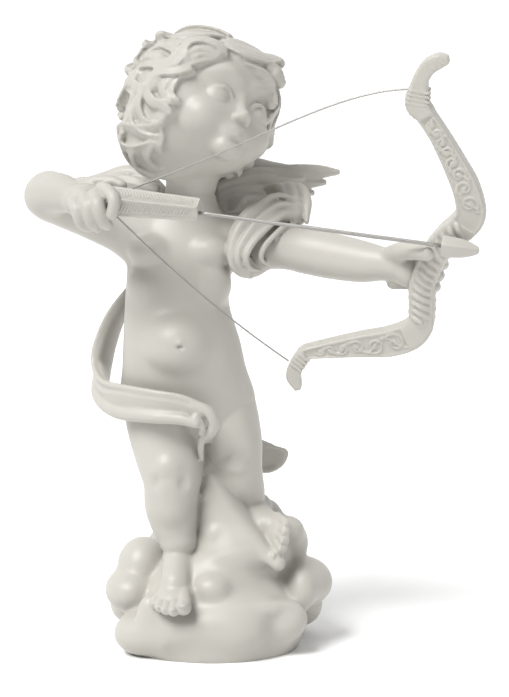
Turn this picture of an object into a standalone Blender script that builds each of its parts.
"""A cast-resin cupid that stands on a cloud-shaped rock and draws a bow. It faces -Y and stands on Z = 0."""

import math

import bmesh
import bpy
from mathutils import Matrix, Vector

# Driving sizes, in metres.
FIGURE_HEIGHT = 0.400
BOW_HEIGHT = 0.212
BOW_THICKNESS = 0.0125
GRIP_RADIUS = 0.0080
WRAP_HEIGHT = 0.0011
WRAP_PITCH = 0.0080
ARROW_LENGTH = 0.227
SHAFT_DIAMETER = 0.0023
FLETCHING_LENGTH = 0.0560
FLETCHING_SIDE = 0.0136
FLETCHING_TAPER = 0.76
FLETCHING_RISE = 0.0020
PANEL_DEPTH = 0.0007
PANEL_RIM = 0.0013
HEAD_LENGTH = 0.0225
HEAD_WIDTH = 0.0096
STRING_DIAMETER = 0.0011
STRING_SET = 0.0066
STRING_SAG = 0.0050
STRING_BEND = 0.0033
STRING_STEPS = 28
CLEARANCE = 0.0004
HAND_CLEARANCE = 0.0012

# The figure's pose and carving are counted in its own unit, a four-hundredth of its height.
UNIT = FIGURE_HEIGHT / 400
VOXEL = 1.7 * UNIT
SMOOTH_PASSES = 4
FACES_KEPT = 0.04
STRING_BORE = 26 * UNIT
SCALP_CENTRE = Vector((-5, 8, 8))
SCALP_RADII = Vector((41, 43, 40))

# The bow is drawn in its own plane, in 212ths of its height from the middle of its grip.
BOW_UNIT = BOW_HEIGHT / 212
BOW_LEAN = math.radians(20)
BOW_TURN = math.radians(12)
EDGE_ROLL = math.radians(35)
GRIP_CENTRE = Vector((129.8, -70, 255.6)) * UNIT
UPPER_NOCK = (-7.6 * BOW_UNIT, 109 * BOW_UNIT)
LOWER_NOCK = (-90 * BOW_UNIT, -69 * BOW_UNIT)
LIMB_STEPS = 3
WRAP_STEPS = 9
DRAW_POINT = Vector((-72, -48, 293)) * UNIT

# The arrow's middle line runs from its tail in the right hand past the front of the grip, whose place is
# (right, up) in the bow's plane.
ARROW_TAIL = Vector((-65, -62, 292.8)) * UNIT
ARROW_PASS = (3.2 * BOW_UNIT, 18.3 * BOW_UNIT)

RESIN = (0.56, 0.54, 0.49, 1)
SILVER = (0.45, 0.44, 0.41, 1)


def material(name, colour, roughness, metallic):
    made = bpy.data.materials.new(name)
    made.use_nodes = True
    shader = made.node_tree.nodes["Principled BSDF"]
    shader.inputs["Base Color"].default_value = colour
    shader.inputs["Roughness"].default_value = roughness
    shader.inputs["Metallic"].default_value = metallic
    return made


def add_object(name, shape, surface=None):
    """The bmesh as an object of the scene; without a surface it is a cutter."""
    bmesh.ops.recalc_face_normals(shape, faces=shape.faces)
    mesh = bpy.data.meshes.new(name)
    shape.to_mesh(mesh)
    shape.free()
    made = bpy.data.objects.new(name, mesh)
    bpy.context.scene.collection.objects.link(made)
    if surface:
        mesh.materials.append(surface)
    else:
        made.hide_render = True
        made.display_type = "WIRE"
    return made


def smooth_path(stations, counts=None):
    """Catmull-Rom points through the stations; counts holds the steps of each stretch."""
    points = [Vector(station) for station in stations]
    points = [2 * points[0] - points[1]] + points + [2 * points[-1] - points[-2]]
    path = []
    for n, (a, b, c, d) in enumerate(zip(points, points[1:], points[2:], points[3:])):
        steps = counts[n] if counts else 4
        for step in range(steps):
            t = step / steps
            square, cube = 2 * a - 5 * b + 4 * c - d, 3 * b - a - 3 * c + d
            path.append(0.5 * (2 * b + (c - a) * t + square * t**2 + cube * t**3))
    return path + [points[-2]]


def add_rings(shape, rings):
    """Bridges rings of points into one closed skin, with a flat cap at each end."""
    rows = [[shape.verts.new(point) for point in ring] for ring in rings]
    for row, following in zip(rows, rows[1:]):
        for i in range(len(row)):
            j = (i + 1) % len(row)
            shape.faces.new((row[i], row[j], following[j], following[i]))
    shape.faces.new(reversed(rows[0]))
    shape.faces.new(rows[-1])


def egg(shape, centre, radii, place=Matrix()):
    """An ellipsoid; radii is one number or three along the axes of its place."""
    if isinstance(radii, (int, float)):
        radii = (radii, radii, radii)
    form = place @ Matrix.Translation(centre) @ Matrix.Diagonal((*radii, 1))
    rings = []
    for row in range(12):
        height = math.radians(7.5 + 15 * row)
        turns = [2 * math.pi * n / 20 for n in range(20)]
        out, up = math.sin(height), -math.cos(height)
        rings.append([form @ Vector((out * math.cos(a), out * math.sin(a), up)) for a in turns])
    add_rings(shape, rings)


def limb(shape, stations, place=Matrix(), sides=12):
    """A round limb through (x, y, z, radius) stations, with round ends."""
    path = smooth_path(stations)
    centres = [place @ Vector(point[:3]) for point in path]
    rings = []
    across = None
    for i, centre in enumerate(centres):
        along = (centres[min(i + 1, len(path) - 1)] - centres[max(i - 1, 0)]).normalized()
        if across is None:
            across = along.orthogonal()
        across = (across - along * across.dot(along)).normalized()
        aside, radius = along.cross(across), path[i][3]
        turns = [2 * math.pi * n / sides for n in range(sides)]
        rings.append([centre + radius * (math.cos(a) * across + math.sin(a) * aside) for a in turns])
    add_rings(shape, rings)
    for end in (0, -1):
        egg(shape, centres[end], path[end][3] * 0.99)


def ribbon(shape, stations, outward, place=Matrix(), sides=12):
    """A band through (x, y, z, half width, half thickness) stations; outward is its flat side at a point."""
    path = smooth_path(stations)
    centres = [place @ Vector(point[:3]) for point in path]
    rings = []
    for i, centre in enumerate(centres):
        along = (centres[min(i + 1, len(path) - 1)] - centres[max(i - 1, 0)]).normalized()
        out = outward(centre)
        out = (out - along * out.dot(along)).normalized()
        wide = along.cross(out)
        wide, out = path[i][3] * wide, path[i][4] * out
        turns = [2 * math.pi * n / sides for n in range(sides)]
        rings.append([centre + math.cos(a) * wide + math.sin(a) * out for a in turns])
    add_rings(shape, rings)


def loft(shape, stations, sides=24):
    """An upright body through (z, x, y, half width, half depth) stations."""
    rings = []
    for z, x, y, wide, deep in smooth_path(stations):
        turns = [2 * math.pi * n / sides for n in range(sides)]
        rings.append([Vector((x + wide * math.cos(a), y + deep * math.sin(a), z)) for a in turns])
    add_rings(shape, rings)


def placed(origin, tilt, roll, turn):
    """A frame at the origin, tilted forward, rolled and turned, in degrees."""
    turned = Matrix.Rotation(math.radians(turn), 4, "Z")
    rolled = Matrix.Rotation(math.radians(roll), 4, "Y")
    tilted = Matrix.Rotation(math.radians(tilt), 4, "X")
    return Matrix.Translation(origin) @ turned @ rolled @ tilted


def away_from(x, y, z):
    return lambda point: point - Vector((x, y, z))


def toward(x, y, z):
    return lambda point: Vector((x, y, z))


def add_torso(shape):
    loft(shape, [
        (136, -20, 3, 30, 26), (150, -20, 3, 42, 31), (164, -20, 3, 45.5, 33), (184, -22, -1, 42, 34),
        (202, -23.5, -4, 39, 33.5), (226, -26.5, 0, 35, 29), (248, -25, 1, 35.5, 27.5),
        (262, -23, 2, 37, 25), (275, -21, 3, 33, 21), (286, -20.5, 4, 23, 18), (294, -20, 4, 17, 16),
    ])
    egg(shape, (-24, -10, 197), (28, 28, 25))
    for x in (-39, -1):
        egg(shape, (x, 17, 160), (22, 21, 24))
    for x in (-40, -8):
        egg(shape, (x, -13, 259), (14, 13, 12))
    limb(shape, [(-19, 4, 282, 18), (-18, 2, 300, 17), (-13, -2, 322, 18)])


def add_right_arm(shape):
    egg(shape, (-54, 2, 269), (18, 17, 17))
    limb(shape, [(-46, 2, 268, 17.5), (-64, -2, 273, 14.3), (-84, -8, 281, 12.8), (-104, -15, 291, 13.5)])
    egg(shape, (-107.5, -17, 295.5), (16, 15, 15.5))
    limb(shape, [(-106, -20, 297, 14.5), (-98, -31, 297, 13), (-89, -43, 295, 10.5)])
    egg(shape, (-79, -53, 293), (13, 11, 10))
    fingers = [
        ((-84, -60, 291), (-83, -65, 284), (-79, -61, 277), 4.3),
        ((-78, -63, 293), (-76, -69, 285), (-72.5, -64, 277), 4.6),
        ((-72, -64, 295), (-70, -72, 287), (-66.5, -67, 278.5), 4.8),
        ((-70, -58, 300), (-63.5, -69.5, 297), (-61.5, -73, 288), 4.8),
    ]
    for knuckle, bend, tip, radius in fingers:
        limb(shape, [(*knuckle, radius + 0.5), (*bend, radius), (*tip, radius - 0.6)])
    limb(shape, [(-82, -46, 300, 5), (-72, -48, 304, 5), (-63, -52, 302, 4.4)])


def add_left_arm(shape):
    egg(shape, (14, 3, 267), (17, 16, 16))
    limb(shape, [
        (8, 4, 265, 19), (24, 0, 264.5, 17.5), (44, -10, 262.5, 14.5), (58, -20, 260.3, 15),
        (72, -28, 257.8, 15), (90, -40, 254.8, 13.5), (103, -49, 253.6, 11), (112, -54, 252.5, 10.5),
    ])
    egg(shape, (117, -52, 251), (11, 9, 11))
    limb(shape, [(108, -54, 259, 6), (114, -68, 262, 5.6), (121, -81, 262, 5), (128, -86, 261, 4.4)])
    for z in (263, 256, 249, 242):
        slide = 0.35 * (z - 252)
        limb(shape, [
            (116 + slide, -48, z, 4.8), (128 + slide, -48, z - 1, 4.5), (137 + slide, -55, z - 2, 4.2),
            (138 + slide, -64, z - 2, 3.8),
        ])


def add_legs(shape):
    limb(shape, [
        (-38, 2, 166, 26), (-35, -5, 148, 25.5), (-31.5, -12, 130, 23.5), (-29.5, -18, 116, 20.3),
        (-29.5, -19, 108, 18.8), (-30, -17, 96, 18), (-28.5, -16, 86, 15.8), (-26.5, -17, 76, 12.8),
        (-24.5, -18, 68, 10.6),
    ])
    egg(shape, (-30, -10, 97), (15, 15, 16))
    limb(shape, [
        (-2, 3, 168, 25), (4, 2, 152, 23), (9, -2, 135, 20.5), (13, -6, 121, 16.5), (15, -5, 112, 15),
        (17, 0, 103, 14), (18.6, 3, 96, 12.4),
    ])
    egg(shape, (18, 6, 103), (12, 12, 14))


def add_foot(shape, place):
    """The sole is at Z = 0 of its place, the toes at -Y and the big toe on the +X side."""
    limb(shape, [(0, 3, 17, 10.3), (0, -6, 13, 10.5), (0, -18, 8.5, 10)], place)
    egg(shape, (0, 5, 7), (9.5, 10, 8.5), place)
    egg(shape, (0.5, -25, 5), (12, 13, 6), place)
    toes = [(7.8, -41, 5), (1.6, -43, 3.7), (-3.4, -41.5, 3.4), (-7.8, -38.5, 3.2), (-11.4, -34.5, 2.9)]
    for x, y, radius in toes:
        joint = (0.8 * x, y + 14, radius + 2, radius)
        limb(shape, [joint, (x, y + 4, radius + 0.8, radius), (x, y, radius, radius)], place)


def add_head(shape, place):
    egg(shape, (-3, 4, 8), (38.5, 44, 38.5), place)
    egg(shape, (0, -16, 16), (31, 27, 25), place)
    egg(shape, (0, -10, -15), (34, 32, 29), place)
    egg(shape, (0, -42, -12), (4.5, 6, 5), place)
    for side in (-1, 1):
        egg(shape, (17 * side, -25, -18), (14, 14, 13.5), place)
        limb(shape, [(3 * side, -41, 7, 3), (13 * side, -39, 10, 3.5), (22 * side, -33, 7, 3)], place)


def on_scalp(azimuth, elevation, lift):
    """A point over the hair's own egg; azimuth 0 is the face, and the head's left is positive."""
    a, e = math.radians(azimuth), math.radians(elevation)
    way = Vector((math.sin(a) * math.cos(e), -math.cos(a) * math.cos(e), math.sin(e)))
    reach = 1 / math.sqrt(sum((way[i] / SCALP_RADII[i]) ** 2 for i in range(3)))
    return SCALP_CENTRE + way * (reach + lift)


def add_lock(shape, place, root, tip, width, lift, sway=6):
    """A wavy lock that swings sideways on its way down and lifts off at its tip."""
    stations = []
    for step in range(7):
        t = step / 6
        swing = sway * math.sin(2 * math.pi * t)
        azimuth = root[0] + (tip[0] - root[0]) * t + swing * 0.6
        elevation = root[1] + (tip[1] - root[1]) * t + swing
        point = on_scalp(azimuth, elevation, 0.5 + lift * t**2)
        stations.append((*point, width * (0.55 + 0.8 * t - 0.75 * t**3), 3.2 - 1.2 * t))
    centre = place @ SCALP_CENTRE
    ribbon(shape, stations, lambda point: point - centre, place)


def add_hair(shape, place):
    egg(shape, SCALP_CENTRE, SCALP_RADII, place)
    locks = [
        ((-60, 74), (-32, 42), 8, 7), ((-100, 80), (-132, 40), 10, 11), ((-70, 66), (-78, 20), 9, 5),
        ((-62, 40), (-64, -8), 7, 5), ((-96, 50), (-118, 8), 10, 7), ((-120, 40), (-142, 6), 9, 15),
        ((-84, 22), (-72, -22), 7, 4), ((-108, 14), (-112, -26), 9, 6), ((-140, 14), (-148, -24), 9, 16),
        ((-82, -14), (-74, -46), 6, 5), ((-112, -16), (-120, -48), 8, 6), ((-146, -14), (-152, -52), 9, 17),
        ((0, 76), (57, 42), 9, 18), ((-8, 66), (30, 52), 6, 3), ((60, 54), (68, 24), 8, 4),
        ((76, 34), (76, -4), 8, 5), ((86, 4), (84, -34), 8, 3), ((100, 60), (112, 16), 10, 7),
        ((110, 20), (108, -22), 9, 6), ((118, -14), (112, -50), 8, 7), ((160, 60), (150, 16), 10, 7),
        ((-168, 62), (-176, 20), 10, 8), ((-176, 24), (176, -22), 10, 8), ((146, 20), (144, -26), 9, 7),
        ((180, -18), (-178, -54), 9, 8), ((148, -18), (144, -56), 8, 7), ((-172, 84), (-150, 58), 9, 5),
    ]
    for root, tip, width, lift in locks:
        add_lock(shape, place, root, tip, width, lift)


def add_wing(shape, side, droop):
    """One short wing, spread behind a shoulder; side is 1 for the figure's left, and droop lowers the tip."""
    middle = -20

    def across(stations):
        turned = []
        for x, y, z, *sizes in stations:
            turned.append((middle + side * (x - middle), y, z - droop * (x - middle), *sizes))
        return turned

    arm = [(-2, 20, 286, 8), (6, 30, 306, 7), (20, 35, 315, 6), (36, 38, 313, 5.5), (47, 40, 312, 4.5)]
    limb(shape, across(arm))
    tips = [(80, 44, 311), (71, 44, 304), (63, 43, 297), (55, 42, 290), (46, 41, 284), (36, 39, 278)]
    for n, (x, y, z) in enumerate(tips):
        root = (8, 28 - 0.4 * n, 303 - 5 * n)
        middle_place = ((x + root[0]) / 2, (y + root[1]) / 2 + 1, (z + root[2]) / 2 + 3)
        quill = [(*root, 5, 3.2), (*middle_place, 6, 3), (x, y, z, 3.5, 1.8)]
        ribbon(shape, across(quill), toward(0, -1, 0))
    for n, (x, y, z) in enumerate([(56, 38, 307), (48, 37, 300), (40, 36, 293), (32, 35, 286)]):
        root = (4, 24 - 0.4 * n, 303 - 5 * n)
        middle_place = ((x + root[0]) / 2, (y + root[1]) / 2 - 1, (z + root[2]) / 2 + 3)
        covert = [(*root, 5, 3.5), (*middle_place, 6, 3.2), (x, y, z, 4, 2.2)]
        ribbon(shape, across(covert), toward(0, -1, 0))


def add_shoulder_drape(shape):
    """Cloth slung round the left arm at the shoulder, in three folds that end in a raised lap."""
    folds = [
        [(50, -6, 289, 5), (29, -15, 289, 6), (15, -21, 276, 6), (9.5, -24, 261, 5.5), (12, -21, 249, 5),
         (20, -13, 246, 5), (31, -3, 251, 4.5), (36, 12, 260, 4.5), (34, 18, 272, 5), (28, 12, 286, 5)],
        [(50, -11, 285, 5), (34, -20, 283, 5), (21, -26, 272, 5), (14, -28, 260, 5), (16, -24, 250, 5),
         (23, -14, 247, 5)],
        [(49, -14, 280, 5), (38, -21, 278, 5), (27, -27, 270, 5), (19, -29, 259, 4.5), (18.5, -26, 248, 4.5)],
    ]
    for fold in folds:
        limb(shape, fold)
    lap = [(50, -8, 281, 7, 5), (50, 1, 291, 9.5, 6), (46, 10, 299, 9.5, 6), (38, 18, 298, 8, 5)]
    ribbon(shape, lap, toward(0.3, -0.6, 0.7))


def add_sash(shape):
    """The cloth band that leaves the back, swings out past the right hip and crosses the lap."""
    ribbon(shape, [
        (-42, 32, 244, 7, 4), (-56, 29, 231, 8, 4), (-68, 28, 214, 10, 5), (-76, 27, 194, 11.5, 5.5),
        (-78, 20, 176, 12, 6), (-72, -6, 167, 10, 6), (-57, -26, 166, 9, 5), (-38, -37, 165, 8, 5),
        (-22, -40, 163, 7.5, 5), (-9, -41, 158, 7, 5),
    ], away_from(-22, 0, 172))
    limb(shape, [
        (-76, 6, 163, 4.5), (-63, -18, 159, 5), (-42, -36, 157.5, 5), (-22, -42, 157, 5), (-9, -43, 153, 5),
    ])
    limb(shape, [(-8, -42, 157, 5), (-5, -41, 149, 5), (-9, -36, 140, 4.5), (-10, -28, 128, 4)])
    flutter = [(2, 22, 136, 8, 4), (12, 34, 126, 10, 4), (26, 42, 118, 12, 3.5), (41, 45, 117, 10, 3)]
    ribbon(shape, flutter, toward(0, -1, 0.1))
    egg(shape, (41, 45, 123), (5, 3, 5))
    egg(shape, (28, 42, 126), (6, 3.5, 5))


def add_rock(shape):
    loft(shape, [
        (-6, -3, -4, 56, 48), (4, -3, -4, 58, 50), (16, -3, -2, 59, 52), (30, 0, 0, 60, 50),
        (46, -2, 4, 50, 44), (60, -2, 6, 34, 34), (72, 0, 8, 22, 24),
    ])
    lobes = [
        (-48, 6, 50, 18, 22, 20), (-56, -4, 37, 20, 24, 15), (-47, -26, 13, 21, 22, 15),
        (-26, -36, 14, 24, 21, 20), (56, 0, 41, 20, 23, 17), (42, 18, 62, 20, 21, 18),
        (28, 20, 80, 14, 14, 13), (34, -20, 14, 21, 25, 18), (8, -40, 16, 27, 18, 20),
        (-28, 28, 40, 26, 24, 26), (24, 32, 44, 28, 22, 28), (0, -10, 46, 36, 30, 24),
        (24, -4, 58, 22, 22, 18), (-24, -24, 30, 20, 22, 16), (46, 4, 74, 11, 12, 10),
    ]
    for x, y, z, wide, deep, high in lobes:
        egg(shape, (x, y, z), (wide, deep, high))
    ribbon(shape, [
        (-8, -2, 130, 7, 5), (-5, -5, 114, 10, 9), (-1, -9, 98, 14, 11.5), (5, -12, 80, 19, 14),
        (10, -18, 62, 26, 17),
    ], toward(0, -1, 0))
    for x, y, z, radius in [(-7, -14, 101, 5), (-9.5, -10, 117, 4), (-1.5, -20, 77, 7.5), (-3, -40, 47, 9)]:
        egg(shape, (x, y, z), radius)
    ridge = [(-2, -13, 112, 3), (7, -18, 95, 4), (19, -22, 79, 4.5), (30, -27, 66.5, 5), (39, -31, 60, 5)]
    limb(shape, ridge)


def figure_mesh():
    """The figure, its wings and cloth and the rock, as closed shapes that overlap."""
    shape = bmesh.new()
    head = placed((-7, -8, 349), -13, 22, 34)
    right_foot = placed((-25.5, -17, 45), 17, 0, -4)
    left_foot = placed((34.8, 8.6, 85.4), 55.2, -65.5, -37.2) @ Matrix.Diagonal((-1, 1, 1, 1))
    add_torso(shape)
    add_right_arm(shape)
    add_left_arm(shape)
    add_legs(shape)
    add_foot(shape, right_foot)
    add_foot(shape, left_foot)
    add_head(shape, head)
    add_hair(shape, head)
    add_wing(shape, 1, 0)
    add_wing(shape, -1, 0.12)
    add_shoulder_drape(shape)
    add_sash(shape)
    add_rock(shape)
    bmesh.ops.transform(shape, matrix=Matrix.Scale(UNIT, 4), verts=shape.verts)
    return shape


def subtract(body, cutter):
    cut = body.modifiers.new("cut " + cutter.name, "BOOLEAN")
    cut.operation = "DIFFERENCE"
    cut.solver = "EXACT"
    cut.object = cutter


def add_figure(surface, cutters):
    figure = add_object("figure", figure_mesh(), surface)
    fused = figure.modifiers.new("fuse", "REMESH")
    fused.mode = "VOXEL"
    fused.voxel_size = VOXEL
    softened = figure.modifiers.new("soften", "SMOOTH")
    softened.factor = 0.5
    softened.iterations = SMOOTH_PASSES
    lightened = figure.modifiers.new("lighten", "DECIMATE")
    lightened.ratio = FACES_KEPT
    for cutter in cutters:
        subtract(figure, cutter)
    return figure


def floor_cutter():
    shape = bmesh.new()
    side = FIGURE_HEIGHT
    bmesh.ops.create_cube(shape, size=1, matrix=Matrix.Translation((0, 0, -side / 2)) @ Matrix.Scale(side, 4))
    return add_object("floor cutter", shape)


def bow_plane():
    """The bow's own axes: +X right along its plane, +Z up it, and -Y out of its carved side."""
    turned = Matrix.Rotation(-BOW_TURN, 4, "Z")
    leaned = Matrix.Rotation(BOW_LEAN, 4, "X")
    return Matrix.Translation(GRIP_CENTRE) @ turned @ leaned


# (right, up, width) along the bow, from its upper tip to its lower tip, in bow units.
UPPER_LIMB = [
    (12, 126, 5), (8.5, 125, 8.5), (3.8, 122, 9), (0, 116.4, 9), (-2, 110.3, 10), (-3.3, 101.3, 13.2),
    (0.8, 94.5, 11), (9.2, 80.5, 11), (18.2, 62.2, 13.4), (24.4, 46.9, 15.8), (26.6, 33, 17),
    (22.8, 25.4, 18),
]
GRIP = [
    (13.6, 17.5, 16), (6.1, 7.9, 16), (0.2, -3.3, 16), (-3.7, -15.5, 16), (-4.2, -29.4, 16), (-5, -38, 15.5),
]
LOWER_LIMB = [
    (-8, -44.5, 17), (-14.5, -49.8, 18.5), (-26, -53.7, 18), (-40.6, -55.6, 15.4), (-56.9, -58.1, 12.2),
    (-71.4, -60.6, 9.2), (-79.2, -62.6, 8), (-83.9, -67.5, 8), (-86.6, -73.1, 9), (-88, -78.8, 9),
    (-86.6, -85, 5),
]


def bow_section(width, thickness):
    """The bow's rounded oblong section, as (across, depth) corners that go once round."""
    edge = 0.28 * min(width, thickness)
    x, y = width / 2, thickness / 2
    return [
        (x, -y + edge), (x, y - edge), (x - edge, y), (-x + edge, y), (-x, y - edge), (-x, -y + edge),
        (-x + edge, -y), (x - edge, -y),
    ]


def bow_mesh(gap, wrapped):
    """The bow swept along its middle line, larger by the gap on every side, its grip wound with a cord."""
    shape = bmesh.new()
    stations = [Vector(station) * BOW_UNIT for station in UPPER_LIMB + GRIP + LOWER_LIMB]
    first, last = len(UPPER_LIMB), len(UPPER_LIMB) + len(GRIP) - 1
    grip_steps = WRAP_STEPS if wrapped else LIMB_STEPS
    counts = [grip_steps if first <= n < last else LIMB_STEPS for n in range(len(stations) - 1)]
    path = smooth_path(stations, counts)
    grip_start = first * LIMB_STEPS
    grip_end = grip_start + (last - first) * grip_steps
    rings = []
    length = 0
    for i, (x, z, width) in enumerate(path):
        before, after = path[max(i - 1, 0)], path[min(i + 1, len(path) - 1)]
        along = Vector((after[0] - before[0], 0, after[1] - before[1])).normalized()
        aside = Vector((along.z, 0, -along.x))
        length += math.hypot(x - path[max(i - 1, 0)][0], z - path[max(i - 1, 0)][1])
        on_grip = grip_start <= i <= grip_end
        tip_share = min(i, len(path) - 1 - i) / (len(path) * 0.5)
        thickness = BOW_THICKNESS * (0.62 + 0.38 * min(1, 1.6 * tip_share))
        if on_grip:
            corners = grip_section(length, wrapped)
        else:
            corners = bow_section(width, thickness)
        ring = []
        for across, deep in corners:
            reach = math.hypot(across, deep)
            grown = (reach + gap) / reach
            ring.append(Vector((x, 0, z)) + (across * aside + deep * Vector((0, 1, 0))) * grown)
        rings.append(ring)
    add_rings(shape, rings)
    return shape


def grip_section(length, wrapped):
    """The round grip at this length along the bow, with the winding's ridges as a slanted wave."""
    corners = []
    for n in range(8):
        angle = math.radians(45 * n - 22.5)
        wave = 0.5 + 0.5 * math.cos(2 * math.pi * length / WRAP_PITCH + angle)
        radius = GRIP_RADIUS + WRAP_HEIGHT * (wave if wrapped else 1)
        corners.append((radius * math.cos(angle), radius * math.sin(angle)))
    return corners


def add_bow(surface):
    bow = add_object("bow", bow_mesh(0, True), surface)
    bow.matrix_world = bow_plane()
    return bow


def bow_cutter():
    cutter = add_object("grip cutter", bow_mesh(CLEARANCE, False))
    cutter.matrix_world = bow_plane()
    return cutter


def arrow_place():
    """The arrow's axes: +X to its head, with its edges toward the front and up."""
    right, up = ARROW_PASS
    bow_front = max(GRIP_RADIUS + WRAP_HEIGHT, BOW_THICKNESS / 2)
    depth = bow_front + HEAD_WIDTH / math.sqrt(2) + CLEARANCE
    along = (bow_plane() @ Vector((right, -depth, up)) - ARROW_TAIL).normalized()
    up = (Vector((0, 0, 1)) - along * along.z).normalized()
    side = up.cross(along)
    turned = Matrix((along, side, up)).transposed().to_4x4()
    return Matrix.Translation(ARROW_TAIL) @ turned


def square_ring(x, side, rise=0):
    """A square across the arrow, rolled so that one of its edges faces the front."""
    half = side / 2
    cosine, sine = math.cos(EDGE_ROLL), math.sin(EDGE_ROLL)
    corners = ((half, half), (-half, half), (-half, -half), (half, -half))
    return [Vector((x, y * cosine - z * sine, y * sine + z * cosine + rise)) for y, z in corners]


def fletching_mesh(gap):
    """The square, tapering block at the arrow's tail, turned so that one edge faces the front."""
    shape = bmesh.new()
    tail = square_ring(-gap, FLETCHING_SIDE + 2 * gap)
    front = square_ring(FLETCHING_LENGTH + gap, FLETCHING_SIDE * FLETCHING_TAPER + 2 * gap, FLETCHING_RISE)
    add_rings(shape, [tail, front])
    return shape


def add_fletching(surface):
    shape = fletching_mesh(0)
    bmesh.ops.recalc_face_normals(shape, faces=shape.faces)
    sides = [face for face in shape.faces if abs(face.normal.x) < 0.5]
    bmesh.ops.inset_individual(shape, faces=sides, thickness=PANEL_RIM, depth=-PANEL_DEPTH)
    block = add_object("arrow_fletching", shape, surface)
    block.matrix_world = arrow_place()
    return block


def fletching_cutter():
    cutter = add_object("fletching cutter", fletching_mesh(CLEARANCE))
    cutter.matrix_world = arrow_place()
    return cutter


def add_shaft(surface):
    shape = bmesh.new()
    start = FLETCHING_LENGTH + CLEARANCE
    length = ARROW_LENGTH - HEAD_LENGTH - CLEARANCE - start
    middle = Matrix.Translation((start + length / 2, 0, 0))
    bmesh.ops.create_cone(
        shape,
        cap_ends=True,
        segments=12,
        radius1=SHAFT_DIAMETER / 2,
        radius2=SHAFT_DIAMETER / 2,
        depth=length,
        matrix=middle @ Matrix.Rotation(math.pi / 2, 4, "Y"),
    )
    shaft = add_object("arrow_shaft", shape, surface)
    shaft.matrix_world = arrow_place()
    return shaft


def add_head_piece(surface):
    """The arrowhead: a blunt point of square section on edge, with a flat back."""
    shape = bmesh.new()
    back = ARROW_LENGTH - HEAD_LENGTH
    profile = [(0, 0.95), (0.1, 1), (0.45, 0.92), (0.75, 0.68), (0.93, 0.42), (1, 0.16)]
    add_rings(shape, [square_ring(back + HEAD_LENGTH * x, HEAD_WIDTH * share) for x, share in profile])
    head = add_object("arrowhead", shape, surface)
    head.matrix_world = arrow_place()
    return head


def arrow_cutter():
    """The room that the shaft and the head take beside the left hand."""
    shape = bmesh.new()
    back = ARROW_LENGTH - HEAD_LENGTH - CLEARANCE
    shaft_room, head_room = SHAFT_DIAMETER + 2 * CLEARANCE, HEAD_WIDTH + 2 * CLEARANCE
    front = ARROW_LENGTH + CLEARANCE
    profile = [(FLETCHING_LENGTH, shaft_room), (back, shaft_room), (back, head_room), (front, head_room)]
    add_rings(shape, [square_ring(x, side) for x, side in profile])
    cutter = add_object("arrow cutter", shape)
    cutter.matrix_world = arrow_place()
    return cutter


def string_route():
    """Upper nock, draw point and lower nock, in the world."""
    off_bow = STRING_DIAMETER / 2 + CLEARANCE
    upper, lower = (bow_plane() @ Vector((right - off_bow, 0, up)) for right, up in (UPPER_NOCK, LOWER_NOCK))
    return upper, DRAW_POINT, lower


def string_points():
    """The string's middle line: the upper stretch has set in an upward bow, and the lower one sags."""
    upper, draw, lower = string_route()
    start = draw + (upper - draw).normalized() * STRING_BEND
    end = draw + (lower - draw).normalized() * STRING_BEND
    # t (1 - t)^3 is highest at a quarter of the way, where it is 27/256.
    highest = 27 / 256
    points = []
    for n in range(STRING_STEPS):
        t = n / STRING_STEPS
        rise = STRING_SET * t * (1 - t) ** 3 / highest
        points.append(upper.lerp(start, t) + Vector((0, 0, rise)))
    for n in range(9):
        t = n / 8
        points.append(start * (1 - t) ** 2 + draw * 2 * t * (1 - t) + end * t**2)
    for n in range(1, STRING_STEPS + 1):
        t = n / STRING_STEPS
        drop = STRING_SAG * 4 * t * (1 - t)
        points.append(end.lerp(lower, t) - Vector((0, 0, drop)))
    return points


def add_string_tube(name, diameter):
    curve = bpy.data.curves.new(name, "CURVE")
    curve.dimensions = "3D"
    curve.bevel_depth = diameter / 2
    curve.bevel_resolution = 2
    curve.use_fill_caps = True
    spline = curve.splines.new("POLY")
    points = string_points()
    spline.points.add(len(points) - 1)
    for point, place in zip(spline.points, points):
        point.co = (*place, 1)
    tube = bpy.data.objects.new(name, curve)
    bpy.context.scene.collection.objects.link(tube)
    return tube


def string_cutter():
    """The bore that the string takes through the right hand."""
    shape = bmesh.new()
    upper, draw, lower = string_route()
    radius = STRING_DIAMETER / 2 + HAND_CLEARANCE
    for end in (upper, lower):
        along = (end - draw).normalized()
        across = along.orthogonal().normalized()
        aside = along.cross(across)
        rings = []
        for distance in (-radius, STRING_BORE):
            centre = draw + along * distance
            turns = [math.radians(60 * n) for n in range(6)]
            rings.append([centre + radius * (math.cos(a) * across + math.sin(a) * aside) for a in turns])
        add_rings(shape, rings)
    return add_object("string cutter", shape)


def main():
    for old in list(bpy.data.objects):
        bpy.data.objects.remove(old)
    resin = material("cast resin", RESIN, 0.5, 0)
    silver = material("silver wire", SILVER, 0.35, 0.8)
    cutters = [floor_cutter(), bow_cutter(), fletching_cutter(), arrow_cutter(), string_cutter()]
    add_figure(resin, cutters)
    add_bow(resin.copy())
    add_fletching(resin.copy())
    add_shaft(silver)
    add_head_piece(resin.copy())
    string = add_string_tube("bowstring", STRING_DIAMETER)
    string.data.materials.append(silver.copy())


main()
